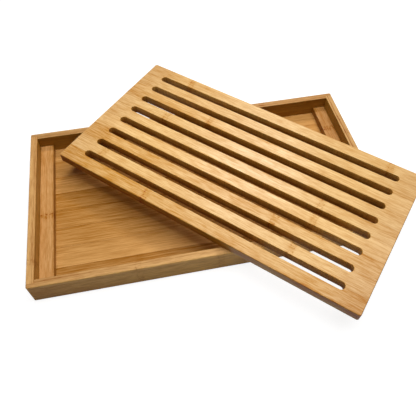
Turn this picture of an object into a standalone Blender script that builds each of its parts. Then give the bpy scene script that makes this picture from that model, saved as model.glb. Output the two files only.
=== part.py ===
"""Bamboo bread board with a crumb tray, with the slotted board lifted out and laid across the tray.

Metres, +Z up. The origin is on the table, under the middle of the whole object's footprint.

The tray is a frame of four rails round a panel of glued staves. The end rails are let into
rabbets in the long rails, and the panel's edges sit in grooves run along all four. A ledge
strip is glued on the panel at each end: with the board put away, it seats on the two ledges.

The board is glued up from bamboo staves, and a slot is routed along every glue line, so each
stave between two slots becomes a slat that still joins its neighbours at both ends.
"""

import math

import bmesh
import bpy
from mathutils import Vector

# Tray frame
TRAY_LENGTH = 0.425
TRAY_DEPTH = 0.2305
RAIL_HEIGHT = 0.032
LONG_RAIL_THICKNESS = 0.0095
END_RAIL_THICKNESS = 0.009
FRAME_CORNER_RADIUS = 0.002
FRAME_EDGE_RADIUS = 0.001
WELL_EDGE_CHAMFER = 0.0006

# Floor panel, in grooves in the rails
PANEL_THICKNESS = 0.0045
PANEL_RISE = 0.002
PANEL_STAVE_WIDTH = 0.0274
GROOVE_DEPTH = 0.004
GROOVE_COVER = 0.0007

# Ledge strips that carry the board when it is put away
LEDGE_WIDTH = 0.017
LEDGE_HEIGHT = 0.010
LEDGE_EDGE_RADIUS = 0.0006

# Slotted board
BOARD_THICKNESS = 0.012
BOARD_PLAY = 0.0005
BOARD_CORNER_RADIUS = 0.0025
BOARD_EDGE_RADIUS = 0.001
SLOT_WIDTH = 0.0095
SLOT_PITCH = 0.024
SLOT_END_MARGIN = 0.026
EDGE_STAVE_LEAST = 0.019
SLOT_CHAMFER = 0.0006

# Where the board lies: its middle, counted from the tray's middle, and its turn
BOARD_SHIFT_X = 0.048
BOARD_SHIFT_Y = -0.0022
BOARD_TURN = math.radians(-43.4)

# Clearances, and how far a cutter runs past what it cuts
GLUE_LINE = 0.0001
REST_GAP = 0.0003
OVERRUN = 0.003

# Facets, and the turn between two faces past which their edge is drawn sharp
CORNER_SEGMENTS = 4
EDGE_SEGMENTS = 3
SLOT_END_SEGMENTS = 14
SHARP_TURN = math.radians(35)

# Colours of the bamboo, and how much lighter or darker each stave is than its neighbours
BOARD_COLOUR = (0.72, 0.45, 0.20)
RAIL_COLOUR = (0.58, 0.34, 0.14)
LEDGE_COLOUR = (0.60, 0.34, 0.16)
PANEL_COLOUR = (0.50, 0.28, 0.10)
BOARD_TONE_SHARES = (0.97, 1.02, 1.0, 0.98, 1.04, 1.01, 0.93, 1.03, 0.95)
PANEL_TONE_SHARES = (1.0, 1.03, 1.06, 0.92, 0.96, 0.94, 1.04, 0.88)
BAMBOO_ROUGHNESS = 0.5

# Sizes that follow from the ones above
WELL_LENGTH = TRAY_LENGTH - 2 * END_RAIL_THICKNESS
WELL_DEPTH = TRAY_DEPTH - 2 * LONG_RAIL_THICKNESS
RABBET_DEPTH = GROOVE_DEPTH + GROOVE_COVER
PANEL_TOP = PANEL_RISE + PANEL_THICKNESS
BOARD_LENGTH = WELL_LENGTH - 2 * BOARD_PLAY
BOARD_WIDTH = WELL_DEPTH - 2 * BOARD_PLAY
BOARD_REST = RAIL_HEIGHT + REST_GAP


def bamboo(name, colour, tone_share):
    """A satin bamboo finish, lighter or darker than its colour by the tone."""
    material = bpy.data.materials.new(name)
    material.use_nodes = True
    shader = material.node_tree.nodes["Principled BSDF"]
    shader.inputs["Base Color"].default_value = [tone_share * part for part in colour] + [1]
    shader.inputs["Roughness"].default_value = BAMBOO_ROUGHNESS
    shader.inputs["Metallic"].default_value = 0
    return material


def add_object(name, mesh, parent, material=None):
    """Puts a mesh in the scene. With no material it is a guide, which isn't part of the object."""
    piece = bpy.data.objects.new(name, mesh)
    bpy.context.scene.collection.objects.link(piece)
    piece.parent = parent
    if material:
        mesh.materials.append(material)
    else:
        piece.hide_render = True
        piece.display_type = "WIRE"
    return piece


def frame_empty(name, location, turn=0):
    empty = bpy.data.objects.new(name, None)
    bpy.context.scene.collection.objects.link(empty)
    empty.location = location
    empty.rotation_euler.z = turn
    return empty


def block_mesh(name, low, high):
    """A box between two corners."""
    low, high = Vector(low), Vector(high)
    shape = bmesh.new()
    bmesh.ops.create_cube(shape, size=1)
    bmesh.ops.scale(shape, vec=high - low, verts=shape.verts)
    bmesh.ops.translate(shape, vec=(low + high) / 2, verts=shape.verts)
    mesh = bpy.data.meshes.new(name)
    shape.to_mesh(mesh)
    shape.free()
    return mesh


def eased_block_mesh(name, low, high, corner_radius, edge_radius):
    """A box whose upright corners are rounded first, and then its top and bottom edges."""
    mesh = block_mesh(name, low, high)
    shape = bmesh.new()
    shape.from_mesh(mesh)
    upright = [edge for edge in shape.edges if is_upright(edge)]
    bmesh.ops.bevel(
        shape,
        geom=upright,
        offset=corner_radius,
        segments=CORNER_SEGMENTS,
        profile=0.5,
        affect="EDGES",
    )
    level = [edge for edge in shape.edges if is_level_rim(edge)]
    bmesh.ops.bevel(
        shape,
        geom=level,
        offset=edge_radius,
        segments=EDGE_SEGMENTS,
        profile=0.5,
        affect="EDGES",
    )
    shape.to_mesh(mesh)
    shape.free()
    shade_rounds(mesh)
    return mesh


def shade_rounds(mesh):
    mesh.shade_smooth()
    mesh.set_sharp_from_angle(angle=SHARP_TURN)


def is_upright(edge):
    start, end = (corner.co for corner in edge.verts)
    return start.x == end.x and start.y == end.y


def is_level_rim(edge):
    """Whether the edge lies where the top or the bottom meets a side."""
    level = [abs(face.normal.z) > math.cos(SHARP_TURN) for face in edge.link_faces]
    return level.count(True) == 1


def boolean(piece, operation, other):
    step = piece.modifiers.new(other.name, "BOOLEAN")
    step.operation = operation
    step.solver = "EXACT"
    step.object = other


def build_tray(tray):
    half_length = TRAY_LENGTH / 2
    half_depth = TRAY_DEPTH / 2
    frame_outline = add_object(
        "frame_outline",
        eased_block_mesh(
            "frame_outline",
            (-half_length, -half_depth, 0),
            (half_length, half_depth, RAIL_HEIGHT),
            FRAME_CORNER_RADIUS,
            FRAME_EDGE_RADIUS,
        ),
        tray,
    )
    flare = well_flare(tray)
    build_long_rails(tray, frame_outline, flare)
    build_end_rails(tray, frame_outline, flare)
    build_panel(tray)
    build_ledges(tray)


def well_flare(tray):
    """A cutter that widens upwards at 45 degrees, for the chamfer round the well's top edge."""
    shape = bmesh.new()
    bmesh.ops.create_cube(shape, size=1)
    for corner in shape.verts:
        rise = WELL_EDGE_CHAMFER + OVERRUN if corner.co.z > 0 else -OVERRUN
        corner.co.x = math.copysign(WELL_LENGTH / 2 + rise, corner.co.x)
        corner.co.y = math.copysign(WELL_DEPTH / 2 + rise, corner.co.y)
        corner.co.z = RAIL_HEIGHT - WELL_EDGE_CHAMFER + rise
    mesh = bpy.data.meshes.new("well_flare")
    shape.to_mesh(mesh)
    shape.free()
    return add_object("well_flare", mesh, tray)


def build_long_rails(tray, frame_outline, flare):
    """The front and back rails: a groove for the panel, and a rabbet at each end."""
    reach = TRAY_LENGTH / 2 + OVERRUN
    outside = TRAY_DEPTH / 2 + OVERRUN
    inside = WELL_DEPTH / 2
    groove = add_object(
        "long_groove",
        block_mesh(
            "long_groove",
            (-reach, -inside - GROOVE_DEPTH, PANEL_RISE - GLUE_LINE),
            (reach, inside + GROOVE_DEPTH, PANEL_TOP + GLUE_LINE),
        ),
        tray,
    )
    shoulder = WELL_LENGTH / 2 - GLUE_LINE
    rabbets = [
        add_object(
            f"{side}_rabbets",
            block_mesh(
                f"{side}_rabbets",
                (min(sign * shoulder, sign * reach), -inside - RABBET_DEPTH, -OVERRUN),
                (max(sign * shoulder, sign * reach), inside + RABBET_DEPTH, RAIL_HEIGHT + OVERRUN),
            ),
            tray,
        )
        for side, sign in (("left", -1), ("right", 1))
    ]
    for name, sign in (("front_rail", -1), ("back_rail", 1)):
        near, far = sorted((sign * inside, sign * outside))
        mesh = block_mesh(name, (-reach, near, -OVERRUN), (reach, far, RAIL_HEIGHT + OVERRUN))
        rail = add_object(name, mesh, tray, bamboo(name, RAIL_COLOUR, 1))
        boolean(rail, "INTERSECT", frame_outline)
        boolean(rail, "DIFFERENCE", groove)
        for rabbet in rabbets:
            boolean(rail, "DIFFERENCE", rabbet)
        boolean(rail, "DIFFERENCE", flare)


def build_end_rails(tray, frame_outline, flare):
    """The left and right rails, which run between the long rails' outer halves."""
    inside = WELL_LENGTH / 2
    outside = TRAY_LENGTH / 2 + OVERRUN
    half_run = WELL_DEPTH / 2 + RABBET_DEPTH - GLUE_LINE
    groove = add_object(
        "end_groove",
        block_mesh(
            "end_groove",
            (-inside - GROOVE_DEPTH, -half_run - OVERRUN, PANEL_RISE - GLUE_LINE),
            (inside + GROOVE_DEPTH, half_run + OVERRUN, PANEL_TOP + GLUE_LINE),
        ),
        tray,
    )
    for name, sign in (("left_rail", -1), ("right_rail", 1)):
        near, far = sorted((sign * inside, sign * outside))
        mesh = block_mesh(name, (near, -half_run, -OVERRUN), (far, half_run, RAIL_HEIGHT + OVERRUN))
        rail = add_object(name, mesh, tray, bamboo(name, RAIL_COLOUR, 1))
        boolean(rail, "INTERSECT", frame_outline)
        boolean(rail, "DIFFERENCE", groove)
        boolean(rail, "DIFFERENCE", flare)


def build_panel(tray):
    """The floor: staves side by side, with the panel's edges in the rails' grooves."""
    half_length = WELL_LENGTH / 2 + GROOVE_DEPTH - GLUE_LINE
    panel_width = WELL_DEPTH + 2 * (GROOVE_DEPTH - GLUE_LINE)
    count = max(1, round(panel_width / PANEL_STAVE_WIDTH))
    stave_width = panel_width / count
    for index in range(count):
        back = panel_width / 2 - index * stave_width
        front = back - stave_width
        if index > 0:
            back -= GLUE_LINE / 2
        if index < count - 1:
            front += GLUE_LINE / 2
        name = f"floor_stave_{index + 1}"
        tone_share = PANEL_TONE_SHARES[index % len(PANEL_TONE_SHARES)]
        mesh = block_mesh(name, (-half_length, front, PANEL_RISE), (half_length, back, PANEL_TOP))
        add_object(name, mesh, tray, bamboo(name, PANEL_COLOUR, tone_share))


def build_ledges(tray):
    """A strip at each end, glued on the panel and against the end rail."""
    half_run = WELL_DEPTH / 2 - GLUE_LINE
    low = PANEL_TOP + GLUE_LINE
    outside = WELL_LENGTH / 2 - GLUE_LINE
    inside = WELL_LENGTH / 2 - LEDGE_WIDTH
    for name, sign in (("left_ledge", -1), ("right_ledge", 1)):
        near, far = sorted((sign * inside, sign * outside))
        mesh = block_mesh(name, (near, -half_run, low), (far, half_run, PANEL_TOP + LEDGE_HEIGHT))
        ledge = add_object(name, mesh, tray, bamboo(name, LEDGE_COLOUR, 1))
        easing = ledge.modifiers.new("eased_edges", "BEVEL")
        easing.width = LEDGE_EDGE_RADIUS
        easing.segments = EDGE_SEGMENTS
        easing.limit_method = "ANGLE"


def slot_centres():
    """How far each slot's middle line lies from the board's, from the back to the front."""
    spare = BOARD_WIDTH - 2 * EDGE_STAVE_LEAST
    count = max(1, math.floor(spare / SLOT_PITCH) + 1)
    return [((count - 1) / 2 - index) * SLOT_PITCH for index in range(count)]


def slot_loop(shape, centre, radius, height):
    """One round of a slot's outline: two half circles joined by straight sides."""
    reach = BOARD_LENGTH / 2 - SLOT_END_MARGIN - SLOT_WIDTH / 2
    loop = []
    for side, start in ((1, -math.pi / 2), (-1, math.pi / 2)):
        for step in range(SLOT_END_SEGMENTS + 1):
            angle = start + math.pi * step / SLOT_END_SEGMENTS
            x = side * reach + radius * math.cos(angle)
            y = centre + radius * math.sin(angle)
            loop.append(shape.verts.new((x, y, height)))
    return loop


def slot_cutter(name, centre, board):
    """A router's path through the board, which flares to a chamfer at both faces."""
    radius = SLOT_WIDTH / 2
    wide = radius + SLOT_CHAMFER
    levels = (
        (wide, -OVERRUN),
        (wide, 0),
        (radius, SLOT_CHAMFER),
        (radius, BOARD_THICKNESS - SLOT_CHAMFER),
        (wide, BOARD_THICKNESS),
        (wide, BOARD_THICKNESS + OVERRUN),
    )
    shape = bmesh.new()
    loops = [slot_loop(shape, centre, size, height) for size, height in levels]
    for lower, upper in zip(loops, loops[1:]):
        for index in range(len(lower)):
            after = (index + 1) % len(lower)
            shape.faces.new((lower[index], lower[after], upper[after], upper[index]))
    shape.faces.new(loops[0][::-1])
    shape.faces.new(loops[-1])
    bmesh.ops.recalc_face_normals(shape, faces=shape.faces)
    mesh = bpy.data.meshes.new(name)
    shape.to_mesh(mesh)
    shape.free()
    shade_rounds(mesh)
    return add_object(name, mesh, board)


def build_board(board):
    """The staves from the back edge to the front edge, each cut by the slots beside it."""
    half_length = BOARD_LENGTH / 2
    half_width = BOARD_WIDTH / 2
    board_outline = add_object(
        "board_outline",
        eased_block_mesh(
            "board_outline",
            (-half_length, -half_width, 0),
            (half_length, half_width, BOARD_THICKNESS),
            BOARD_CORNER_RADIUS,
            BOARD_EDGE_RADIUS,
        ),
        board,
    )
    centres = slot_centres()
    slots = [slot_cutter(f"slot_{number}", centre, board) for number, centre in enumerate(centres, 1)]
    seams = [half_width + OVERRUN, *centres, -half_width - OVERRUN]
    for index, (back, front) in enumerate(zip(seams, seams[1:])):
        beside = slots[max(index - 1, 0) : index + 1]
        if index == 0:
            name = "board_back_edge"
        elif index == len(centres):
            name = "board_front_edge"
        else:
            name = f"board_slat_{index}"
        back -= GLUE_LINE / 2
        front += GLUE_LINE / 2
        mesh = block_mesh(
            name,
            (-half_length - OVERRUN, front, -OVERRUN),
            (half_length + OVERRUN, back, BOARD_THICKNESS + OVERRUN),
        )
        tone_share = BOARD_TONE_SHARES[index % len(BOARD_TONE_SHARES)]
        stave = add_object(name, mesh, board, bamboo(name, BOARD_COLOUR, tone_share))
        boolean(stave, "INTERSECT", board_outline)
        for slot in beside:
            boolean(stave, "DIFFERENCE", slot)


def footprint_middle():
    """The middle of the whole footprint, counted from the tray's middle.

    The turned board with rounded corners reaches past its own middle by the reach of the
    rectangle between its corners' centres, plus the corner radius.
    """
    along = BOARD_LENGTH / 2 - BOARD_CORNER_RADIUS
    across = BOARD_WIDTH / 2 - BOARD_CORNER_RADIUS
    cosine, sine = abs(math.cos(BOARD_TURN)), abs(math.sin(BOARD_TURN))
    reach_x = cosine * along + sine * across + BOARD_CORNER_RADIUS
    reach_y = sine * along + cosine * across + BOARD_CORNER_RADIUS
    right = max(TRAY_LENGTH / 2, BOARD_SHIFT_X + reach_x)
    left = min(-TRAY_LENGTH / 2, BOARD_SHIFT_X - reach_x)
    back = max(TRAY_DEPTH / 2, BOARD_SHIFT_Y + reach_y)
    front = min(-TRAY_DEPTH / 2, BOARD_SHIFT_Y - reach_y)
    return Vector(((left + right) / 2, (front + back) / 2, 0))


def main():
    for old in list(bpy.data.objects):
        bpy.data.objects.remove(old)
    tray_place = -footprint_middle()
    board_place = tray_place + Vector((BOARD_SHIFT_X, BOARD_SHIFT_Y, BOARD_REST))
    build_tray(frame_empty("tray", tray_place))
    build_board(frame_empty("board", board_place, BOARD_TURN))


main()
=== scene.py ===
"""Finish for a bamboo bread board that lies across its crumb tray.

Every stave, rail and ledge of the frame gets a finely eased surface of the same size, and a
bamboo finish worked out from where each point lies in its own strip of bamboo. Metres, +Z up.
"""

import math

import bmesh
import bpy
import numpy as np
from bpy.props import FloatProperty, FloatVectorProperty, IntProperty, PointerProperty
from mathutils import Matrix, Vector


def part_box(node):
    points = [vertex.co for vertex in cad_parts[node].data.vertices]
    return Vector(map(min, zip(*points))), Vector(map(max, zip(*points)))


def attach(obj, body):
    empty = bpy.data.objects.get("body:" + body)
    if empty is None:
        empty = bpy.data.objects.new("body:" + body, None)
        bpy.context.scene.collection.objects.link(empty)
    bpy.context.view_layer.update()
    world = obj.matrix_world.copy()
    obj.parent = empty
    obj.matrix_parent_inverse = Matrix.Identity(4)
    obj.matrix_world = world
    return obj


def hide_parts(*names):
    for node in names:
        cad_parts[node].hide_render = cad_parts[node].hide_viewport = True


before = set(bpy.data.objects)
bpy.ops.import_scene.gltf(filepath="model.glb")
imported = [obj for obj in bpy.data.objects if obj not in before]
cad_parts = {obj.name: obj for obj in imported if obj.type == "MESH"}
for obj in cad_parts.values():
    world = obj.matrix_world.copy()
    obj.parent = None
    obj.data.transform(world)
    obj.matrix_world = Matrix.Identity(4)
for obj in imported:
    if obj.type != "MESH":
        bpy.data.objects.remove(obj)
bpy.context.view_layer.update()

bl_info = {
    "name": "Bamboo Bread Board Finish",
    "version": (1, 0, 0),
    "blender": (4, 5, 0),
    "location": "3D View > Sidebar > Bread Board",
    "description": "Eased bamboo staves, rails and ledges for a bread board and its crumb tray",
    "category": "Add Mesh",
}

# The board's staves and the floor's, each in order from the back to the front
BOARD_NODES = ("board_back_edge", *(f"board_slat_{n}" for n in range(1, 8)), "board_front_edge")
FLOOR_NODES = tuple(f"floor_stave_{n}" for n in range(1, 9))

# How far each rail and ledge is turned from the front rail, in degrees
RAIL_TURNS = {"front_rail": 0, "right_rail": 90, "back_rail": 180, "left_rail": -90}
LEDGE_TURNS = {"left_ledge": -90, "right_ledge": 90}

# The glue gap that the frame leaves between its pieces
GLUE_GAP = 0.0001

# Points nearer than this are merged, and an edge that turns further than this is sharp
MERGE_WITHIN = 0.000001
SHARP_TURN = math.radians(35)

# How each strip of bamboo differs: its tone, how far it leans to the dark colour, how much darker
# its front or outer edge is than the other, how much paler it gets along it for each metre, and
# how far its two knuckles lie from its middle, where a place of 1 is past its end
NO_KNUCKLE = 1.0
STRIP_LOOKS = {
    "board_back_edge": (0.93, 0.0, 0.2, 0.6, (-0.1345, 0.1623)),
    "board_slat_1": (0.94, 0.06, -0.2, 0.3, (NO_KNUCKLE, NO_KNUCKLE)),
    "board_slat_2": (0.99, 0.05, 0.2, 1.3, (-0.0723, NO_KNUCKLE)),
    "board_slat_3": (0.98, -0.04, -0.3, 0.3, (-0.1269, NO_KNUCKLE)),
    "board_slat_4": (1.0, -0.05, 0.3, 0.0, (0.1116, NO_KNUCKLE)),
    "board_slat_5": (1.05, -0.17, 0.3, 0.6, (0.1136, NO_KNUCKLE)),
    "board_slat_6": (1.05, 0.33, -0.3, 0.6, (0.0748, NO_KNUCKLE)),
    "board_slat_7": (1.04, 0.02, 0.2, -0.7, (-0.1573, 0.1091)),
    "board_front_edge": (1.05, 0.47, 0.2, 0.1, (-0.0723, NO_KNUCKLE)),
    "front_rail": (0.93, -0.42, 0.1, 3.8, (-0.0908, 0.0025)),
    "back_rail": (0.79, -0.05, 0.1, 1.1, (-0.1100, NO_KNUCKLE)),
    "left_rail": (1.0, -0.13, -0.2, 0.3, (0.0830, NO_KNUCKLE)),
    "right_rail": (0.76, -0.15, 0.2, 0.3, (0.0648, 0.0383)),
    "left_ledge": (1.0, 0.0, 0.1, 0.0, (0.0118, NO_KNUCKLE)),
    "right_ledge": (0.84, 0.3, 0.1, 0.0, (0.0624, NO_KNUCKLE)),
    "floor_stave_1": (0.92, -0.25, -0.4, 0.0, (0.0500, NO_KNUCKLE)),
    "floor_stave_2": (0.95, -0.15, -0.4, 0.0, (-0.0200, NO_KNUCKLE)),
    # floor_stave_3's front edge is painted lighter: a painted highlight where light catches the edge
    "floor_stave_3": (1.06, -0.12, -0.9, 0.0, (0.1200, NO_KNUCKLE)),
    "floor_stave_4": (0.98, 0.25, -0.4, 0.0, (-0.0600, NO_KNUCKLE)),
    "floor_stave_5": (0.97, 0.22, -0.5, 0.0, (0.0300, NO_KNUCKLE)),
    "floor_stave_6": (0.98, 0.02, -0.5, 0.0, (-0.0100, NO_KNUCKLE)),
    "floor_stave_7": (0.97, -0.32, -0.8, 0.0, (0.1500, NO_KNUCKLE)),
    "floor_stave_8": (0.90, 0.15, -0.3, 0.0, (-0.0900, NO_KNUCKLE)),
}

# How uneven each kind of strip is along its length, how strongly its ends get painted shade, how
# far its grain is drawn out, how strongly its knuckles show, how much its layers differ, and which
# way they lie on each other
KIND_LOOKS = {
    "board": (1.0, 1.0, 1.0, 1.1, 0.14, (0, 0, 1)),
    "rail": (0.8, 0.0, 1.0, 0.7, 0.4, (0, 1, 0)),
    "ledge": (0.8, 0.0, 1.0, 1.3, 0.14, (0, 0, 1)),
    "floor": (0.25, 0.0, 2.4, 0.3, 0.14, (0, 0, 1)),
}

# How dark the seams between a strip's layers are, and the rails that have their own
SEAM_DEPTH = 0.45
SEAM_DEPTHS = {"left_rail": 0.7, "right_rail": 1.7}

# Tints of the slots' walls and of the long rails' outer faces, at the foot and at the top, and
# how much the marks of the cutter swing them. The slots' walls are darkened partly by the
# cutter's burn and partly by painted shade, which deepens towards the foot while their top gets
# painted light. The long rails' outer faces get painted light, which grows towards their top
WHITE = (1.0, 1.0, 1.0, 1)
WALL_LOOKS = {
    "board": ((0.315, 0.20, 0.042, 1), (1.12, 1.08, 0.62, 1), 0.12),
    "rail": ((1.10, 1.01, 0.44, 1), (1.36, 1.39, 1.07, 1), 0.0),
    "ledge": (WHITE, WHITE, 0.0),
    "floor": (WHITE, WHITE, 0.0),
}


class BREADBOARD_PG_easing(bpy.types.PropertyGroup):
    """Sizes of the eased edges and of the routed slots."""

    slot_width: FloatProperty(
        name="Slot Width",
        description="Width of each routed slot",
        default=0.0095,
        unit="LENGTH",
    )
    slot_end_margin: FloatProperty(
        name="Slot End Margin",
        description="From the board's end to each slot's end",
        default=0.026,
        unit="LENGTH",
    )
    slot_edge: FloatProperty(
        name="Slot Edge",
        description="Radius of the eased edge round each slot",
        default=0.0006,
        unit="LENGTH",
    )
    board_edge: FloatProperty(
        name="Board Edge",
        description="Radius of the board's eased outer edges",
        default=0.001,
        unit="LENGTH",
    )
    board_corner: FloatProperty(
        name="Board Corner",
        description="Radius of the board's upright corners",
        default=0.0025,
        unit="LENGTH",
    )
    rail_edge: FloatProperty(
        name="Rail Edge",
        description="Radius of the rails' eased outer edges",
        default=0.001,
        unit="LENGTH",
    )
    rail_corner: FloatProperty(
        name="Rail Corner",
        description="Radius of the tray's upright corners",
        default=0.002,
        unit="LENGTH",
    )
    well_edge: FloatProperty(
        name="Well Edge",
        description="Radius of the rails' eased inner edges",
        default=0.0006,
        unit="LENGTH",
    )
    ledge_edge: FloatProperty(
        name="Ledge Edge",
        description="Radius of the ledges' eased edges",
        default=0.0006,
        unit="LENGTH",
    )
    seam_edge: FloatProperty(
        name="Seam Edge",
        description="Radius of the floor staves' edges along their glue lines",
        default=0.0002,
        unit="LENGTH",
    )
    edge_steps: IntProperty(
        name="Edge Steps",
        description="Steps in each eased edge's quarter round",
        default=5,
        min=1,
    )
    corner_steps: IntProperty(
        name="Corner Steps",
        description="Steps in each quarter turn of a corner or a slot's end",
        default=14,
        min=2,
    )


class BREADBOARD_PG_bamboo(bpy.types.PropertyGroup):
    """Colours and figure of the bamboo."""

    board_light: FloatVectorProperty(
        name="Board Light",
        description="Light fibres of the board",
        default=(0.87, 0.585, 0.255),
        size=3,
        subtype="COLOR",
    )
    board_dark: FloatVectorProperty(
        name="Board Dark",
        description="Dark fibres of the board",
        default=(0.62, 0.335, 0.094),
        size=3,
        subtype="COLOR",
    )
    rail_light: FloatVectorProperty(
        name="Rail Light",
        description="Light fibres of the rails",
        default=(0.80, 0.47, 0.18),
        size=3,
        subtype="COLOR",
    )
    rail_dark: FloatVectorProperty(
        name="Rail Dark",
        description="Dark fibres of the rails",
        default=(0.56, 0.285, 0.095),
        size=3,
        subtype="COLOR",
    )
    ledge_light: FloatVectorProperty(
        name="Ledge Light",
        description="Light fibres of the ledges",
        default=(0.69, 0.375, 0.14),
        size=3,
        subtype="COLOR",
    )
    ledge_dark: FloatVectorProperty(
        name="Ledge Dark",
        description="Dark fibres of the ledges",
        default=(0.48, 0.215, 0.050),
        size=3,
        subtype="COLOR",
    )
    floor_light: FloatVectorProperty(
        name="Floor Light",
        description="Light fibres of the floor panel",
        default=(0.69, 0.362, 0.115),
        size=3,
        subtype="COLOR",
    )
    floor_dark: FloatVectorProperty(
        name="Floor Dark",
        description="Dark fibres of the floor panel",
        default=(0.435, 0.187, 0.034),
        size=3,
        subtype="COLOR",
    )
    board_gloss: FloatProperty(
        name="Board Gloss",
        description="How strongly the board's oiled surface reflects",
        default=0.3,
        subtype="FACTOR",
    )
    rail_gloss: FloatProperty(
        name="Rail Gloss",
        description="How strongly the rails' matter surface reflects",
        default=0.08,
        subtype="FACTOR",
    )
    ledge_gloss: FloatProperty(
        name="Ledge Gloss",
        description="How strongly the ledges' matter surface reflects",
        default=0.2,
        subtype="FACTOR",
    )
    floor_gloss: FloatProperty(
        name="Floor Gloss",
        description="How strongly the floor panel's matter surface reflects",
        default=0.08,
        subtype="FACTOR",
    )
    board_ply: FloatProperty(
        name="Board Ply",
        description="Thickness of each of the board's three layers",
        default=0.004,
        unit="LENGTH",
    )
    rail_ply: FloatProperty(
        name="Rail Ply",
        description="Thickness of a rail's outer layer",
        default=0.0062,
        unit="LENGTH",
    )


class BREADBOARD_PG_studio(bpy.types.PropertyGroup):
    """Camera, lamps and the white ground."""

    focal_length: FloatProperty(
        name="Focal Length",
        description="Focal length of the camera, in millimetres",
        default=39.51,
    )
    camera_turn: FloatProperty(
        name="Camera Turn",
        description="How far the camera looks to the right of straight back",
        default=math.radians(10.587),
        subtype="ANGLE",
    )
    camera_tilt: FloatProperty(
        name="Camera Tilt",
        description="How far the camera looks down",
        default=math.radians(55.220),
        subtype="ANGLE",
    )
    camera_roll: FloatProperty(
        name="Camera Roll",
        description="How far the camera leans over",
        default=math.radians(0.548),
        subtype="ANGLE",
    )
    camera_distance: FloatProperty(
        name="Camera Distance",
        description="From the camera to the point of the ground that it looks at",
        default=0.58683,
        unit="LENGTH",
    )
    camera_target: FloatVectorProperty(
        name="Camera Target",
        description="The point of the ground that the camera looks at",
        default=(-0.02318, -0.02594, 0),
        size=3,
        subtype="TRANSLATION",
    )
    key_place: FloatVectorProperty(
        name="Key Place",
        description="Middle of the wide soft box overhead",
        default=(0.14, 0.0, 0.85),
        size=3,
        subtype="TRANSLATION",
    )
    key_size: FloatVectorProperty(
        name="Key Size",
        description="Width and depth of the wide soft box",
        default=(1.10, 0.40),
        size=2,
        unit="LENGTH",
    )
    key_power: FloatProperty(
        name="Key Power",
        description="Power of the wide soft box",
        default=7.4,
        unit="POWER",
    )
    sheen_place: FloatVectorProperty(
        name="Sheen Place",
        description="Middle of the soft box behind, which the board's top reflects",
        default=(0.24, 0.61, 0.85),
        size=3,
        subtype="TRANSLATION",
    )
    sheen_size: FloatVectorProperty(
        name="Sheen Size",
        description="Width and depth of the soft box behind",
        default=(0.3, 0.2),
        size=2,
        unit="LENGTH",
    )
    sheen_power: FloatProperty(
        name="Sheen Power",
        description="Power of the soft box behind",
        default=5.2,
        unit="POWER",
    )
    surroundings: FloatProperty(
        name="Surroundings",
        description="Strength of the light that comes from all round",
        default=0.02,
    )
    ground_size: FloatProperty(
        name="Ground Size",
        description="Side of the white ground",
        default=12.0,
        unit="LENGTH",
    )
    ground_bounce: FloatProperty(
        name="Ground Bounce",
        description="Share of the light that the ground throws back",
        default=0.6,
    )
    ground_glow: FloatProperty(
        name="Ground Glow",
        description="How much of the ground's white doesn't depend on the lamps",
        default=0.88,
    )
    ground_shade: FloatProperty(
        name="Ground Shade",
        description="How much of the ground's white the lamps add, which a shadow takes away",
        default=0.3,
    )


class BREADBOARD_PG_settings(bpy.types.PropertyGroup):
    """All settings of the bread board."""

    easing: PointerProperty(type=BREADBOARD_PG_easing)
    bamboo: PointerProperty(type=BREADBOARD_PG_bamboo)
    studio: PointerProperty(type=BREADBOARD_PG_studio)


# Surfaces


def mesh_points(mesh):
    """The corners of a mesh, as rows of x, y and z."""
    places = np.zeros(len(mesh.vertices) * 3, np.float32)
    mesh.vertices.foreach_get("co", places)
    return places.reshape(-1, 3).astype(float)


def turned(points, turn):
    """Points turned about the upright axis: x' = x cos t - y sin t and y' = x sin t + y cos t."""
    cosine, sine = math.cos(turn), math.sin(turn)
    result = np.array(points, float)
    result[:, 0] = cosine * points[:, 0] - sine * points[:, 1]
    result[:, 1] = sine * points[:, 0] + cosine * points[:, 1]
    return result


def board_place():
    """The board's middle at its underside, and its turn, from its first and last slats."""
    first = sum(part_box("board_slat_1"), Vector()) / 2
    last = sum(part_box("board_slat_7"), Vector()) / 2
    middle = (first + last) / 2
    middle.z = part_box("board_slat_1")[0].z
    across = first - last
    return middle, math.atan2(-across.x, across.y)


def extent(name, origin, turn):
    """A node's lowest and highest corners as seen from a place that is turned about the upright."""
    local = turned(mesh_points(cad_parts[name].data) - np.array(origin), -turn)
    return local.min(axis=0), local.max(axis=0)


def straight(start, end, inward, easing):
    """The two ends of a straight side, which both move inward the same way."""
    points = np.array([start, end], float)
    return points, np.tile(np.array(inward, float), (2, 1)), np.full(2, float(easing)), np.zeros(2)


def arc(centre, radius, start, stop, steps, easing, hollow=False):
    """Points c + r (cos a, sin a), with a in equal steps. They move towards the centre, or away
    from it round a hollow, which is a wall."""
    angles = np.linspace(start, stop, steps + 1)
    rays = np.stack([np.cos(angles), np.sin(angles)], axis=1)
    points = np.array(centre, float) + radius * rays
    count = len(angles)
    inward = rays if hollow else -rays
    return points, inward, np.full(count, float(easing)), np.full(count, float(hollow))


def joined(runs):
    """Runs of an outline, one after the other: points, directions inward, easing, and if walls."""
    return tuple(np.concatenate(parts) for parts in zip(*runs))


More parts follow.
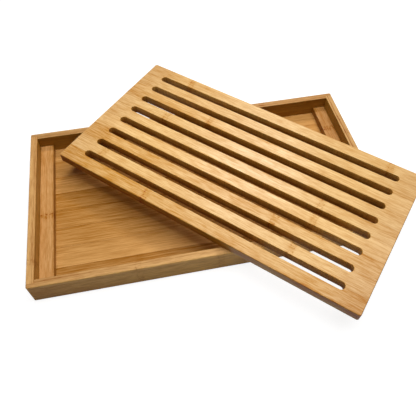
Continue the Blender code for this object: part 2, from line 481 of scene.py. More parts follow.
def carried_edge(outline, low, high, steps, groove=None, oil_and_shade=0):
    """An edge profile carried round an outline in plan.

    At the turn t of its quarter round, a point of easing e has moved e (1 - cos t) inward and
    is e (1 - sin t) short of the face. A groove is (depths, bottom, top): each point moves
    inward by its own depth between the two heights. A point's three cuts are the cosine of t
    times how far it is on a wall with a tint of painted shade and light, on the strip's end, and
    on a face with painted shade, which on the board's edges is partly oil that soaked in.
    """
    points, inward, easing, walls = outline
    turns = np.linspace(0, math.pi / 2, steps + 1)
    insets = [easing * (1 - math.cos(turn)) for turn in turns]
    rises = [easing * (1 - math.sin(turn)) for turn in turns]
    levels = [(inset, low + rise) for inset, rise in zip(insets[::-1], rises[::-1])]
    if groove is not None:
        depths, bottom, top = groove
        nothing = np.zeros(len(points))
        levels += [(nothing, bottom), (depths, bottom), (depths, top), (nothing, top)]
    levels += [(inset, high - rise) for inset, rise in zip(insets, rises)]
    rings = np.zeros((len(levels), len(points), 3))
    cuts = np.zeros((len(levels), len(points), 3))
    for ring, cut, (inset, height) in zip(rings, cuts, levels):
        ring[:, :2] = points + inward * inset[:, None]
        ring[:, 2] = height
        upright = 1 - np.divide(inset, easing, out=np.zeros(len(points)), where=easing > 0)
        cut[:, 0] = upright * walls
        cut[:, 1] = upright * np.abs(inward[:, 0])
        cut[:, 2] = upright * oil_and_shade
    return rings, cuts


def closed_mesh(name, rings, cuts):
    """A closed surface from rings of points, with its first and last rings filled. It keeps each
    point's cuts, and merges the points that lie on each other."""
    levels, count = rings.shape[:2]
    index = np.arange(levels * count).reshape(levels, count)
    lower, upper = index[:-1], index[1:]
    walls = np.stack([lower, np.roll(lower, -1, 1), np.roll(upper, -1, 1), upper], axis=-1)
    faces = walls.reshape(-1, 4).tolist() + [index[0][::-1].tolist(), index[-1].tolist()]
    mesh = bpy.data.meshes.new(name)
    mesh.from_pydata(rings.reshape(-1, 3).tolist(), [], faces)
    kept = mesh.attributes.new("cut", "FLOAT_VECTOR", "POINT")
    kept.data.foreach_set("vector", cuts.ravel().astype(np.float32))
    shape = bmesh.new()
    shape.from_mesh(mesh)
    bmesh.ops.remove_doubles(shape, verts=shape.verts, dist=MERGE_WITHIN)
    shape.to_mesh(mesh)
    shape.free()
    return mesh


def keep_grain(mesh, middle=(0, 0, 0)):
    """Stores where each point lies in its strip of bamboo, along it, across it and through it."""
    places = mesh_points(mesh) - np.array(middle)
    grain = mesh.attributes.new("grain", "FLOAT_VECTOR", "POINT")
    grain.data.foreach_set("vector", places.ravel().astype(np.float32))


def finish_piece(node, mesh, origin, turn, body, material):
    """Puts a piece that was worked out at its own origin in its place, on its body."""
    placed = turned(mesh_points(mesh), turn) + np.array(origin)
    mesh.vertices.foreach_set("co", placed.ravel().astype(np.float32))
    mesh.materials.append(material)
    mesh.shade_smooth()
    mesh.set_sharp_from_angle(angle=SHARP_TURN)
    mesh.update()
    piece = bpy.data.objects.new(f"{node}_eased", mesh)
    bpy.context.scene.collection.objects.link(piece)
    weights = piece.modifiers.new("even_shading", "WEIGHTED_NORMAL")
    weights.keep_sharp = True
    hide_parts(node)
    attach(piece, body)


# Bamboo

# How far the figure moves on from one strip to the next
SEED_STEP = 7.3

# Painted shade on upright faces, which on the board's edges is partly oil that soaked in, and how much of
# it the tray's inner faces and the ledges' sides get
OIL_AND_SHADE_TINT = (0.62, 0.53, 0.12, 1)
TRAY_SHADE = 0.9

# Painted shade at a strip's ends, and how far from its middle it starts and is whole
PAINTED_END_SHADE = (0.88, 0.84, 0.84, 1)
ENDS_FROM = 0.14
ENDS_TO = 0.20

# The power with which a wall's tint goes from its foot's to its top's, which paints shade and light on it
WALL_SHADING_RISE = 1.5

# Each noise's waves for each metre along, across and through the strip, its octaves, how rough
# it is, and the part of its range that is spread over the whole swing, if any
NOISES = {
    "broad": ((1.6, 90, 90), 2.0, 0.5, (0.3, 0.7)),
    "cloud": ((22, 45, 45), 3.0, 0.55, (0.3, 0.7)),
    "streak": ((7, 330, 330), 3.0, 0.65, (0.3, 0.7)),
    "hair": ((60, 750, 750), 3.0, 0.7, (0.3, 0.7)),
    "mottle": ((80, 110, 110), 3.0, 0.6, (0.35, 0.65)),
    "worn": ((4, 60, 60), 2.0, 0.5, (0.4, 0.62)),
    "wander": ((30, 120, 120), 3.0, 0.6, None),
    "patches": ((160, 300, 300), 3.0, 0.6, (0.34, 0.60)),
    "cutter": ((900, 900, 25), 2.0, 0.6, (0.35, 0.65)),
}

# Each kind of cell's waves for each metre, and how far from its middle it starts and ends to fade
CELLS = {
    "bundles": ((26, 1050, 1050), 0.10, 0.40),
    "dots": ((300, 620, 620), 0.15, 0.60),
}
CELL_RANDOMNESS = 0.9

# How far each kind of figure swings the darkness, to both sides of the middle shade
MIDDLE_SHADE = 0.67
UNEVEN_SWING = 0.30
HAIR_SWING = 0.84
MOTTLE_SWING = 0.08
LEAN_SWING = 0.5
LEAN_BASE = 0.2
LEAN_BEND = 0.6

# How much each mark adds to the darkness
BUNDLE_MARK = 0.20
RIM_MARK = 0.32
RIM_FROM = 0.7
BAND_MARK = 0.40
DOT_MARK = 1.00
END_GRAIN_MARK = 0.30

# A knuckle's waver, where its band fades, its band's weakest patch, and for each of its rows of
# dots how far aside it lies, where it starts and ends to fade, and its strength
KNUCKLE_WAVER = 0.008
BAND_FADE = (0.0010, 0.0070)
WEAKEST_PATCH = 0.1
DOT_ROWS = ((-0.0020, 0.0003, 0.0012, 1.0), (0.0035, 0.0003, 0.0014, 0.6))

# In layers: the shift that keeps a face between two layers in the lower one, half a seam's
# width, and the middle and the reach of the places at which seams show
LAYER_SHIFT = 0.001
SEAM_WIDTH = 0.10
SEAMS_MIDDLE = 1.5
SEAMS_REACH = 1.25

# Roughness and relief
LEAST_ROUGH = 0.26
DARK_ROUGH = 0.12
CUTTER_ROUGH = 2.5
FIBRE_RELIEF = 0.5
BUNDLE_RELIEF = 0.3
RELIEF_STRENGTH = 0.35
RELIEF_HEIGHT = 0.00006


def add_node(tree, kind, inputs=(), **settings):
    """A node with its settings. Each input is another node's output or a value."""
    made = tree.nodes.new(kind)
    for setting, value in settings.items():
        setattr(made, setting, value)
    for key, value in dict(inputs).items():
        if isinstance(value, bpy.types.NodeSocket):
            tree.links.new(value, made.inputs[key])
        else:
            made.inputs[key].default_value = value
    return made


def maths(tree, operation, *values):
    """The result of one operation on numbers."""
    return add_node(tree, "ShaderNodeMath", dict(enumerate(values)), operation=operation).outputs[0]


def vector_maths(tree, operation, first, second, output="Vector"):
    """The result of one operation on two vectors or colours."""
    made = add_node(tree, "ShaderNodeVectorMath", {0: first, 1: second}, operation=operation)
    return made.outputs[output]


def scaled(tree, colour, share):
    """A colour times a number."""
    made = add_node(tree, "ShaderNodeVectorMath", {0: colour, "Scale": share}, operation="SCALE")
    return made.outputs[0]


def mixed(tree, share, first, second, **settings):
    """first + share (second - first), for colours."""
    inputs = {"Factor": share, "A": first, "B": second}
    return add_node(tree, "ShaderNodeMix", inputs, data_type="RGBA", **settings).outputs["Result"]


def remap(tree, value, low, high, to_low=0.0, to_high=1.0):
    """a + (b - a) s^2 (3 - 2 s), from a to b, where s is the value's share of the way from low
    to high, kept between 0 and 1."""
    return add_node(
        tree,
        "ShaderNodeMapRange",
        {"Value": value, "From Min": low, "From Max": high, "To Min": to_low, "To Max": to_high},
        interpolation_type="SMOOTHSTEP",
    ).outputs["Result"]


def figure_group():
    """The figure of one strip of bamboo, as a node group.

    The darkness d starts from the middle shade and the strip's depth, leans across the strip
    and drifts along it. It swings with noises that are drawn out along the strip and with each
    layer's own tone. Marks only add to it: bundles are cells drawn out still further, so they
    show as hair lines along the strip and as dots on its end grain, a knuckle is a patchy
    orange band with two wavering rows of brown dots, and dark seams part the layers.

    The colour is light + d (dark - light), times the strip's tone and the tints of its walls, its
    upright faces and its ends, which are painted shade and light. A wall's tint goes from its
    foot's to its top's with a power of the height's share, and the marks of the cutter swing it.
    On the slots' walls it is partly the cutter's burn and partly painted shade that deepens to the
    foot; on the long rails' outer faces it is painted light that grows to the top. The upright
    faces' tint is painted shade, partly oil that soaked into the board's edges, and the ends' tint
    is painted shade.
    """
    tree = bpy.data.node_groups.new("bamboo_figure", "ShaderNodeTree")
    for direction, kind, labels in (
        ("INPUT", "NodeSocketColor", ("Light", "Dark", "Wall Foot", "Wall Top")),
        ("INPUT", "NodeSocketVector", ("Grain Scale", "Ply Direction")),
        ("INPUT", "NodeSocketFloat", ("Tone", "Depth", "Tilt", "Drift", "Unevenness", "Seed")),
        ("INPUT", "NodeSocketFloat", ("First Knuckle", "Second Knuckle", "Knuckle Strength")),
        ("INPUT", "NodeSocketFloat", ("Ply", "Ply Contrast", "Seam Depth", "Half Width")),
        ("INPUT", "NodeSocketFloat", ("End Shade", "Wall Height", "Wall Marks")),
        ("OUTPUT", "NodeSocketColor", ("Colour",)),
        ("OUTPUT", "NodeSocketFloat", ("Roughness", "Relief")),
    ):
        for label in labels:
            tree.interface.new_socket(label, in_out=direction, socket_type=kind)
    given = tree.nodes.new("NodeGroupInput").outputs
    result = tree.nodes.new("NodeGroupOutput")

    place = add_node(tree, "ShaderNodeAttribute", attribute_name="grain").outputs["Vector"]
    along, across, rise = add_node(tree, "ShaderNodeSeparateXYZ", {0: place}).outputs
    grain = vector_maths(tree, "MULTIPLY", place, given["Grain Scale"])
    seed = add_node(tree, "ShaderNodeCombineXYZ", dict.fromkeys("XYZ", given["Seed"])).outputs[0]
    cuts = add_node(tree, "ShaderNodeAttribute", attribute_name="cut").outputs["Vector"]
    wall, end_grain, oil_and_shade = add_node(tree, "ShaderNodeSeparateXYZ", {0: cuts}).outputs

    def drawn_out(waves):
        """The place in the strip, times the waves for each metre, plus the strip's seed."""
        return vector_maths(tree, "ADD", vector_maths(tree, "MULTIPLY", grain, waves), seed)

    def noise(name):
        """Fractal noise from 0 to 1."""
        waves, octaves, rough, _ = NOISES[name]
        return add_node(
            tree,
            "ShaderNodeTexNoise",
            {"Vector": drawn_out(waves), "Scale": 1.0, "Detail": octaves, "Roughness": rough},
        ).outputs["Fac"]

    def spread(name, to_low=0.0, to_high=1.0):
        """Noise with a part of its range spread over the whole swing."""
        return remap(tree, noise(name), *NOISES[name][-1], to_low, to_high)

    def spots(name):
        """Spots that fade from 1 to 0 with the distance from their cell's middle."""
        waves, near, far = CELLS[name]
        distance = add_node(
            tree,
            "ShaderNodeTexVoronoi",
            {"Vector": drawn_out(waves), "Scale": 1.0, "Randomness": CELL_RANDOMNESS},
            feature="F1",
        ).outputs["Distance"]
        return remap(tree, distance, near, far, 1.0, 0.0)

    # Knuckles
    waver = maths(tree, "MULTIPLY_ADD", noise("wander"), KNUCKLE_WAVER, -KNUCKLE_WAVER / 2)
    wavering = maths(tree, "ADD", along, waver)
    bands = []
    rows = []
    for name in ("First Knuckle", "Second Knuckle"):
        away = maths(tree, "SUBTRACT", wavering, given[name])
        bands.append(remap(tree, maths(tree, "ABSOLUTE", away), *BAND_FADE, 1.0, 0.0))
        for aside, near, far, strength in DOT_ROWS:
            distance = maths(tree, "ABSOLUTE", maths(tree, "SUBTRACT", away, aside))
            rows.append(remap(tree, distance, near, far, strength, 0.0))
    band = maths(tree, "MAXIMUM", *bands)
    band = maths(tree, "MULTIPLY", band, spread("patches", WEAKEST_PATCH, 1.0))
    band = maths(tree, "MULTIPLY", band, given["Knuckle Strength"])
    dots = rows[0]
    for row in rows[1:]:
        dots = maths(tree, "MAXIMUM", dots, row)
    dots = maths(tree, "MULTIPLY", dots, spots("dots"))
    dots = maths(tree, "MULTIPLY", dots, given["Knuckle Strength"])

    # Layers
    through = vector_maths(tree, "DOT_PRODUCT", place, given["Ply Direction"], "Value")
    layer = maths(tree, "SUBTRACT", maths(tree, "DIVIDE", through, given["Ply"]), LAYER_SHIFT)
    layer_tone = add_node(
        tree,
        "ShaderNodeTexWhiteNoise",
        {"W": maths(tree, "ADD", maths(tree, "FLOOR", layer), given["Seed"])},
        noise_dimensions="1D",
    ).outputs["Value"]
    seam = remap(tree, maths(tree, "PINGPONG", layer, 0.5), 0.0, SEAM_WIDTH, 1.0, 0.0)
    seam = maths(tree, "MULTIPLY", seam, maths(tree, "COMPARE", layer, SEAMS_MIDDLE, SEAMS_REACH))

    # One edge of the strip is darker than the other, and both have a brown streak here and there
    lean = maths(tree, "DIVIDE", across, given["Half Width"])
    bend = maths(tree, "MULTIPLY_ADD", maths(tree, "MULTIPLY", lean, lean), LEAN_BEND, LEAN_BASE)
    leaning = maths(tree, "MULTIPLY", maths(tree, "MULTIPLY", lean, bend), given["Tilt"])
    leaning = maths(tree, "MULTIPLY", leaning, -LEAN_SWING)
    leaning = maths(tree, "SUBTRACT", leaning, maths(tree, "MULTIPLY", along, given["Drift"]))
    rim = remap(tree, maths(tree, "ABSOLUTE", lean), RIM_FROM, 1.0)
    rim = maths(tree, "MULTIPLY", rim, spread("worn"))

    # Figure that goes both ways from the middle shade, and marks that only darken it
    streak, hair, bundle = spread("streak"), spread("hair"), spots("bundles")
    uneven = maths(tree, "MULTIPLY", given["Unevenness"], UNEVEN_SWING)
    darkness = maths(tree, "ADD", leaning, maths(tree, "ADD", given["Depth"], MIDDLE_SHADE))
    for source, amount in (
        (spread("broad"), uneven),
        (spread("cloud"), uneven),
        (streak, uneven),
        (hair, HAIR_SWING),
        (spread("mottle"), MOTTLE_SWING),
        (layer_tone, given["Ply Contrast"]),
    ):
        darkness = maths(tree, "MULTIPLY_ADD", maths(tree, "SUBTRACT", source, 0.5), amount, darkness)
    for source, amount in (
        (bundle, BUNDLE_MARK),
        (rim, RIM_MARK),
        (band, BAND_MARK),
        (dots, DOT_MARK),
        (seam, given["Seam Depth"]),
        (end_grain, END_GRAIN_MARK),
    ):
        darkness = maths(tree, "MULTIPLY_ADD", source, amount, darkness)

    # Colour
    colour = mixed(tree, darkness, given["Light"], given["Dark"], clamp_factor=False)
    # The walls' tint: painted shade and light from foot to top, swung by the cutter's marks
    marks = maths(tree, "MULTIPLY_ADD", spread("cutter", -1.0, 1.0), given["Wall Marks"], 1.0)
    height = maths(tree, "DIVIDE", rise, given["Wall Height"])
    climb = maths(tree, "POWER", height, WALL_SHADING_RISE)
    painted_wall_tint = scaled(tree, mixed(tree, climb, given["Wall Foot"], given["Wall Top"]), marks)
    # Painted shade at the board's ends
    ends = remap(tree, maths(tree, "ABSOLUTE", along), ENDS_FROM, ENDS_TO)
    ends = maths(tree, "MULTIPLY", ends, given["End Shade"])
    # The upright faces' tint is painted shade, partly oil in the board's edges
    for share, tint in ((wall, painted_wall_tint), (oil_and_shade, OIL_AND_SHADE_TINT), (ends, PAINTED_END_SHADE)):
        colour = vector_maths(tree, "MULTIPLY", colour, mixed(tree, share, WHITE, tint))
    tree.links.new(scaled(tree, colour, given["Tone"]), result.inputs["Colour"])

    cutter = maths(tree, "MULTIPLY", maths(tree, "MULTIPLY", wall, given["Wall Marks"]), CUTTER_ROUGH)
    rough = maths(tree, "MULTIPLY_ADD", darkness, DARK_ROUGH, maths(tree, "ADD", cutter, LEAST_ROUGH))
    tree.links.new(rough, result.inputs["Roughness"])
    fibres = maths(tree, "MULTIPLY", maths(tree, "ADD", hair, streak), FIBRE_RELIEF)
    relief = maths(tree, "SUBTRACT", fibres, maths(tree, "MULTIPLY", bundle, BUNDLE_RELIEF))
    tree.links.new(relief, result.inputs["Relief"])
    return tree


def bamboo_material(node, kind, half_width, ply=1.0):
    """Oiled bamboo for one strip, with its own tone, knuckles and place in the figure. A ply of a
    whole metre leaves the strip without seams."""
    bamboo = bpy.context.scene.bread_board.bamboo
    light, dark, gloss = (getattr(bamboo, f"{kind}_{part}") for part in ("light", "dark", "gloss"))
    tone, depth, tilt, drift, knuckles = STRIP_LOOKS[node]
    unevenness, end_shade, drawn, knuckle_strength, ply_contrast, ply_direction = KIND_LOOKS[kind]
    wall_foot, wall_top, wall_marks = WALL_LOOKS[kind]
    low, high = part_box(node)
    group = bpy.data.node_groups.get("bamboo_figure") or figure_group()
    material = bpy.data.materials.new(f"{node}_bamboo")
    material.use_nodes = True
    tree = material.node_tree
    shader = tree.nodes["Principled BSDF"]
    figure = add_node(tree, "ShaderNodeGroup", node_tree=group)
    for label, value in (
        ("Light", (*light, 1)),
        ("Dark", (*dark, 1)),
        ("Tone", tone),
        ("Depth", depth),
        ("Tilt", tilt),
        ("Seed", SEED_STEP * list(STRIP_LOOKS).index(node)),
        ("First Knuckle", knuckles[0]),
        ("Second Knuckle", knuckles[1]),
        ("Half Width", half_width),
        ("Ply", ply),
        ("Ply Direction", ply_direction),
        ("Ply Contrast", ply_contrast),
        ("Seam Depth", SEAM_DEPTHS.get(node, SEAM_DEPTH)),
        ("Unevenness", unevenness),
        ("Drift", drift),
        ("End Shade", end_shade),
        ("Wall Height", high.z - low.z),
        ("Wall Foot", wall_foot),
        ("Wall Top", wall_top),
        ("Wall Marks", wall_marks),
        ("Grain Scale", (1 / drawn, 1, 1)),
        ("Knuckle Strength", knuckle_strength),
    ):
        figure.inputs[label].default_value = value
    bump = add_node(
        tree,
        "ShaderNodeBump",
        {
            "Height": figure.outputs["Relief"],
            "Strength": RELIEF_STRENGTH,
            "Distance": RELIEF_HEIGHT,
        },
    )
    tree.links.new(figure.outputs["Colour"], shader.inputs["Base Color"])
    tree.links.new(figure.outputs["Roughness"], shader.inputs["Roughness"])
    tree.links.new(bump.outputs["Normal"], shader.inputs["Normal"])
    shader.inputs["Specular IOR Level"].default_value = gloss
    return material


# Board


def slot_side(length, seam, inwards, easing):
    """One side of a stave along a slot: the glue line to the slot, half round the slot, and on.

    It runs from the left end to the right. The slot is a hollow round the glue line, so the
    side leaves the line at the slot's end, goes round a quarter turn, along the straight, and
    round another quarter turn back to the line.
    """
    radius = easing.slot_width / 2
    reach = length / 2 - easing.slot_end_margin - radius
    start, quarter = (math.pi, math.pi / 2) if inwards > 0 else (-math.pi, -math.pi / 2)
    to_slot = reach + radius + easing.slot_edge
    line_end = length / 2 - easing.board_edge
    left = (-reach, seam)
    right = (reach, seam)
    steps = easing.corner_steps
    return [
        straight((-line_end, seam), (-to_slot, seam), (0, inwards), 0),
        arc(left, radius, start, quarter, steps, easing.slot_edge, hollow=True),
        arc(right, radius, quarter, 0, steps, easing.slot_edge, hollow=True),
        straight((to_slot, seam), (line_end, seam), (0, inwards), 0),
    ]


def outer_side(length, edge, inwards, easing):
    """The board's long outer edge, from the left end to the right, with rounded corners."""
    radius = easing.board_corner
    across = edge + inwards * radius
    middle = length / 2 - radius
    out = -inwards * math.pi / 2
    start = math.pi if inwards < 0 else -math.pi
    steps = easing.corner_steps
    return [
        arc((-middle, across), radius, start, out, steps, easing.board_edge),
        arc((middle, across), radius, out, 0, steps, easing.board_edge),
    ]


def end_side(length, low, high, easing):
    """The stave's right end, from its front to its back."""
    return straight((length / 2, low), (length / 2, high), (-1, 0), easing.board_edge)


def stave_outline(length, low, high, first, last, easing):
    """The plan of a stave: its front side, its right end, its back side and its left end."""
    front_side = outer_side if last else slot_side
    back_side = outer_side if first else slot_side
    front = front_side(length, low, 1, easing)
    back = back_side(length, high, -1, easing)
    radius = easing.board_corner
    end_low = low + radius if last else low
    end_high = high - radius if first else high
    right_end = end_side(length, end_low, end_high, easing)
    left_end = straight((-length / 2, end_high), (-length / 2, end_low), (1, 0), easing.board_edge)
    reversed_back = [tuple(part[::-1] for part in run) for run in back[::-1]]
    return joined([*front, right_end, *reversed_back, left_end])


class BREADBOARD_OT_board(bpy.types.Operator):
    """Lay the slotted board's nine staves, each eased along its slots and its outer edges"""

    bl_idname = "breadboard.add_board"
    bl_label = "Add Board"

    def execute(self, context):
        settings = context.scene.bread_board
        easing, bamboo = settings.easing, settings.bamboo
        origin, turn = board_place()
        for index, node in enumerate(BOARD_NODES):
            low, high = extent(node, origin, turn)
            length = high[0] - low[0]
            outline = stave_outline(
                length,
                low[1],
                high[1],
                index == 0,
                index == len(BOARD_NODES) - 1,
                easing,
            )
            # The board's outer side and end faces get painted shade, partly oil that soaked in
            outer = outline[2] == easing.board_edge
            rings, cuts = carried_edge(outline, low[2], high[2], easing.edge_steps, None, outer)
            mesh = closed_mesh(f"{node}_eased", rings, cuts)
            keep_grain(mesh, (0, (low[1] + high[1]) / 2, 0))
            material = bamboo_material(node, "board", (high[1] - low[1]) / 2, bamboo.board_ply)
            finish_piece(node, mesh, origin, turn, "board", material)
        return {"FINISHED"}


# Tray


def rail_place(node, turn):
    """The middle of a rail's outer face, where it stands on the table."""
    low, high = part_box(node)
    middle = (low + high) / 2
    outward = Vector((math.sin(turn), -math.cos(turn), 0))
    half_depth = abs((high - low).dot(outward)) / 2
    place = middle + outward * half_depth
    place.z = low.z
    return place


def rail_outline(node, origin, turn, easing):
    """The plan of a rail, and how deep its groove is at each point.

    A long rail goes round its two outer corners, in to the rabbet, along it to the shoulder, and
    along the well. An end rail is a bar whose ends are cut square. The long rails' outer halves
    are walls with a tint of painted light, which grows towards their top.
    """
    low, high = extent(node, origin, turn)
    thickness = high[1]
    half = high[0]
    staves = [extent(name, origin, turn) for name in FLOOR_NODES]
    groove_depth = thickness - min(stave[0][1] for stave in staves) + GLUE_GAP
    if node in ("front_rail", "back_rail"):
        ends = [extent(name, origin, turn) for name in ("left_rail", "right_rail")]
        rabbet = min(end[0][1] for end in ends) - GLUE_GAP
        shoulder = max(end[0][0] for end in ends) - GLUE_GAP
        radius = easing.rail_corner
        middle = half - radius
        steps = easing.corner_steps
        edge = easing.rail_edge
        runs = [
            arc((-middle, radius), radius, -math.pi, -math.pi / 2, steps, edge),
            arc((middle, radius), radius, -math.pi / 2, 0, steps, edge),
            straight((half, rabbet), (half, rabbet), (-1, 0), edge),
            straight((half - edge, rabbet), (shoulder, rabbet), (0, -1), 0),
            straight((shoulder, thickness - easing.well_edge), (shoulder, thickness), (0, -1), 0),
            straight((-shoulder, thickness), (-shoulder, thickness - easing.well_edge), (0, -1), 0),
            straight((-shoulder, rabbet), (-half + edge, rabbet), (0, -1), 0),
            straight((-half, rabbet), (-half, rabbet), (1, 0), edge),
        ]
        points, inward, sizes, _ = joined(runs)
        inner = np.isclose(points[:, 1], thickness)
        sizes = np.where(inner, easing.well_edge, sizes)
        depths = np.where(inner, groove_depth, 0.0)
        # The outer halves get the wall tint, which is painted light
        walls = (points[:, 1] < thickness / 2).astype(float)
        return (points, inward, sizes, walls), depths
    edge = easing.rail_edge
    well = easing.well_edge
    runs = [
        straight((-half, 0), (half, 0), (0, 1), edge),
        straight((half, edge), (half, thickness - well), (0, 1), 0),
        straight((half, thickness), (-half, thickness), (0, -1), well),
        straight((-half, thickness - well), (-half, edge), (0, 1), 0),
    ]
    outline = joined(runs)
    depths = np.where(np.isclose(outline[0][:, 1], thickness), groove_depth, 0.0)
    return outline, depths


class BREADBOARD_OT_rails(bpy.types.Operator):
    """Build the tray's four rails, with the end rails let into the long ones"""

    bl_idname = "breadboard.add_rails"
    bl_label = "Add Rails"

    def execute(self, context):
        settings = context.scene.bread_board
        for node, degrees in RAIL_TURNS.items():
            turn = math.radians(degrees)
            origin = rail_place(node, turn)
            outline, depths = rail_outline(node, origin, turn, settings.easing)
            floor_low, floor_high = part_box("floor_stave_1")
            groove = (depths, floor_low.z - GLUE_GAP, floor_high.z + GLUE_GAP)
            low, high = extent(node, origin, turn)
            # The well's inner faces get painted shade
            well = TRAY_SHADE * np.isclose(outline[0][:, 1], high[1])
            rings, cuts = carried_edge(outline, low[2], high[2], settings.easing.edge_steps, groove, well)
            mesh = closed_mesh(f"{node}_eased", rings, cuts)
            keep_grain(mesh)
            material = bamboo_material(node, "rail", high[1] / 2, settings.bamboo.rail_ply)
            finish_piece(node, mesh, origin, turn, "tray", material)
        return {"FINISHED"}


def eased_bar(node, origin, turn, edge, ease_ends, easing):
    """A plain bar with all its edges eased, or with only its long ones."""
    low, high = extent(node, origin, turn)
    quarter = math.pi / 2
    if ease_ends:
        corners = (
            ((low[0] + edge, low[1] + edge), -math.pi),
            ((high[0] - edge, low[1] + edge), -quarter),
            ((high[0] - edge, high[1] - edge), 0),
            ((low[0] + edge, high[1] - edge), quarter),
        )
        steps = easing.corner_steps
        runs = [
            arc(centre, edge, start, start + quarter, steps, edge)
            for centre, start in corners
        ]
    else:
        runs = [
            straight((low[0], low[1]), (high[0], low[1]), (0, 1), edge),
            straight((high[0], low[1] + edge), (high[0], high[1] - edge), (0, 1), 0),
            straight((high[0], high[1]), (low[0], high[1]), (0, -1), edge),
            straight((low[0], high[1] - edge), (low[0], low[1] + edge), (0, 1), 0),
        ]
    # The ledges' sides get painted shade
    oil_and_shade = TRAY_SHADE if ease_ends else 0
    rings, cuts = carried_edge(joined(runs), low[2], high[2], easing.edge_steps, None, oil_and_shade)
    return closed_mesh(f"{node}_eased", rings, cuts), high[1]


class BREADBOARD_OT_floor(bpy.types.Operator):
    """Lay the tray's floor panel, whose staves' edges sit in the rails' grooves"""

    bl_idname = "breadboard.add_floor"
    bl_label = "Add Floor"

    def execute(self, context):
        easing = context.scene.bread_board.easing
        for node in FLOOR_NODES:
            origin = sum(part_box(node), Vector()) / 2
            mesh, half_width = eased_bar(node, origin, 0, easing.seam_edge, False, easing)
            keep_grain(mesh)
            material = bamboo_material(node, "floor", half_width)
            finish_piece(node, mesh, origin, 0, "tray", material)
        return {"FINISHED"}


class BREADBOARD_OT_ledges(bpy.types.Operator):
    """Glue a ledge strip inside each end of the tray"""

    bl_idname = "breadboard.add_ledges"
    bl_label = "Add Ledges"

    def execute(self, context):
        easing = context.scene.bread_board.easing
        for node, degrees in LEDGE_TURNS.items():
            turn = math.radians(degrees)
            origin = sum(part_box(node), Vector()) / 2
            mesh, half_width = eased_bar(node, origin, turn, easing.ledge_edge, True, easing)
            keep_grain(mesh)
            material = bamboo_material(node, "ledge", half_width)
            finish_piece(node, mesh, origin, turn, "tray", material)
        return {"FINISHED"}


# Stage


def seen_plainly(tree):
    """1 where the camera, a gloss or a clear piece sees the surface, and 0 for scattered light."""
    path = tree.nodes.new("ShaderNodeLightPath").outputs
    seen = maths(tree, "MAXIMUM", path["Is Camera Ray"], path["Is Glossy Ray"])
    return maths(tree, "MAXIMUM", seen, path["Is Transmission Ray"])


def ground_material(studio):
    """White where the camera sees it, less the object's shadow, and a plain bounce elsewhere."""
    material = bpy.data.materials.new("white_ground")
    material.use_nodes = True
    tree = material.node_tree
    tree.nodes.clear()
    output = tree.nodes.new("ShaderNodeOutputMaterial")
    bounce = studio.ground_bounce
    plain = add_node(tree, "ShaderNodeBsdfDiffuse", {"Color": (bounce, bounce, bounce, 1)}).outputs[0]
    share = studio.ground_shade
    matt = add_node(tree, "ShaderNodeBsdfDiffuse", {"Color": (share, share, share, 1)}).outputs[0]
    glow = add_node(
        tree,
        "ShaderNodeEmission",
        {"Color": WHITE, "Strength": studio.ground_glow},
    ).outputs[0]
    white = add_node(tree, "ShaderNodeAddShader", {0: matt, 1: glow}).outputs[0]
    parts = {0: seen_plainly(tree), 1: plain, 2: white}
    shown = add_node(tree, "ShaderNodeMixShader", parts).outputs[0]
    tree.links.new(shown, output.inputs["Surface"])
    return material


def soft_box(name, place, size, power):
    """A lamp of the given width and depth that faces straight down."""
    lamp = bpy.data.lights.new(name, "AREA")
    lamp.shape = "RECTANGLE"
    lamp.size, lamp.size_y = size
    lamp.energy = power
    holder = bpy.data.objects.new(name, lamp)
    bpy.context.scene.collection.objects.link(holder)
    holder.location = place


def camera_matrix(studio):
    """The camera's place and turn: it looks from its distance at its target, down by its tilt."""
    turn, tilt, roll = studio.camera_turn, studio.camera_tilt, studio.camera_roll
    level = math.cos(tilt)
    forward = Vector((math.sin(turn) * level, math.cos(turn) * level, -math.sin(tilt)))
    right = Vector((math.cos(turn), -math.sin(turn), 0))
    up = right.cross(forward)
    leaning_right = math.cos(roll) * right - math.sin(roll) * up
    leaning_up = math.sin(roll) * right + math.cos(roll) * up
    axes = Matrix((leaning_right, leaning_up, -forward)).transposed().to_4x4()
    axes.translation = Vector(studio.camera_target) - studio.camera_distance * forward
    return axes


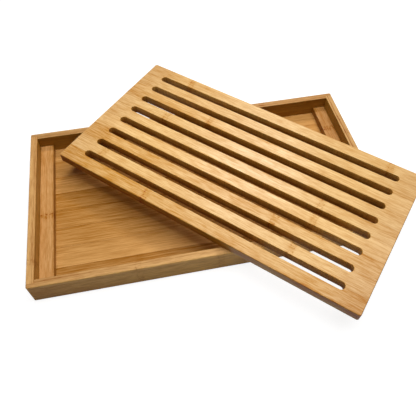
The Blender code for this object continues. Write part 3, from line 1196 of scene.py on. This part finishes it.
class BREADBOARD_OT_stage(bpy.types.Operator):
    """Set up the white ground, the two soft boxes, the surroundings and the camera"""

    bl_idname = "breadboard.add_stage"
    bl_label = "Add Stage"

    def execute(self, context):
        scene = context.scene
        studio = scene.bread_board.studio
        half = studio.ground_size / 2
        mesh = bpy.data.meshes.new("ground")
        corners = [(-half, -half, 0), (half, -half, 0), (half, half, 0), (-half, half, 0)]
        mesh.from_pydata(corners, [], [tuple(range(len(corners)))])
        mesh.materials.append(ground_material(studio))
        ground = bpy.data.objects.new("ground", mesh)
        scene.collection.objects.link(ground)

        soft_box("key_box", studio.key_place, studio.key_size, studio.key_power)
        soft_box("sheen_box", studio.sheen_place, studio.sheen_size, studio.sheen_power)

        world = bpy.data.worlds.new("surroundings")
        world.use_nodes = True
        tree = world.node_tree
        background = tree.nodes["Background"]
        strength = add_node(
            tree,
            "ShaderNodeMix",
            {"Factor": seen_plainly(tree), "A": studio.surroundings, "B": 1.0},
            data_type="FLOAT",
        ).outputs["Result"]
        background.inputs["Color"].default_value = WHITE
        tree.links.new(strength, background.inputs["Strength"])
        scene.world = world

        view = bpy.data.cameras.new("camera")
        view.lens = studio.focal_length
        camera = bpy.data.objects.new("camera", view)
        scene.collection.objects.link(camera)
        camera.matrix_world = camera_matrix(studio)
        scene.camera = camera
        scene.view_settings.view_transform = "Standard"
        return {"FINISHED"}


class BREADBOARD_PT_panel(bpy.types.Panel):
    """Steps that finish the bread board, in order"""

    bl_idname = "BREADBOARD_PT_panel"
    bl_label = "Bread Board"
    bl_space_type = "VIEW_3D"
    bl_region_type = "UI"
    bl_category = "Bread Board"

    def draw(self, context):
        for operator in STEPS:
            self.layout.operator(operator.bl_idname)


STEPS = (
    BREADBOARD_OT_board,
    BREADBOARD_OT_rails,
    BREADBOARD_OT_floor,
    BREADBOARD_OT_ledges,
    BREADBOARD_OT_stage,
)
CLASSES = (
    BREADBOARD_PG_easing,
    BREADBOARD_PG_bamboo,
    BREADBOARD_PG_studio,
    BREADBOARD_PG_settings,
    *STEPS,
    BREADBOARD_PT_panel,
)


def register():
    """Registers the classes, and keeps the settings on the scene."""
    for each in CLASSES:
        bpy.utils.register_class(each)
    bpy.types.Scene.bread_board = PointerProperty(type=BREADBOARD_PG_settings)


def unregister():
    """Takes back what register did, in the opposite order."""
    del bpy.types.Scene.bread_board
    for each in reversed(CLASSES):
        bpy.utils.unregister_class(each)


def main():
    """Runs the steps in order."""
    register()
    bpy.ops.breadboard.add_board()
    bpy.ops.breadboard.add_rails()
    bpy.ops.breadboard.add_floor()
    bpy.ops.breadboard.add_ledges()
    bpy.ops.breadboard.add_stage()


if __name__ == "__main__":
    main()
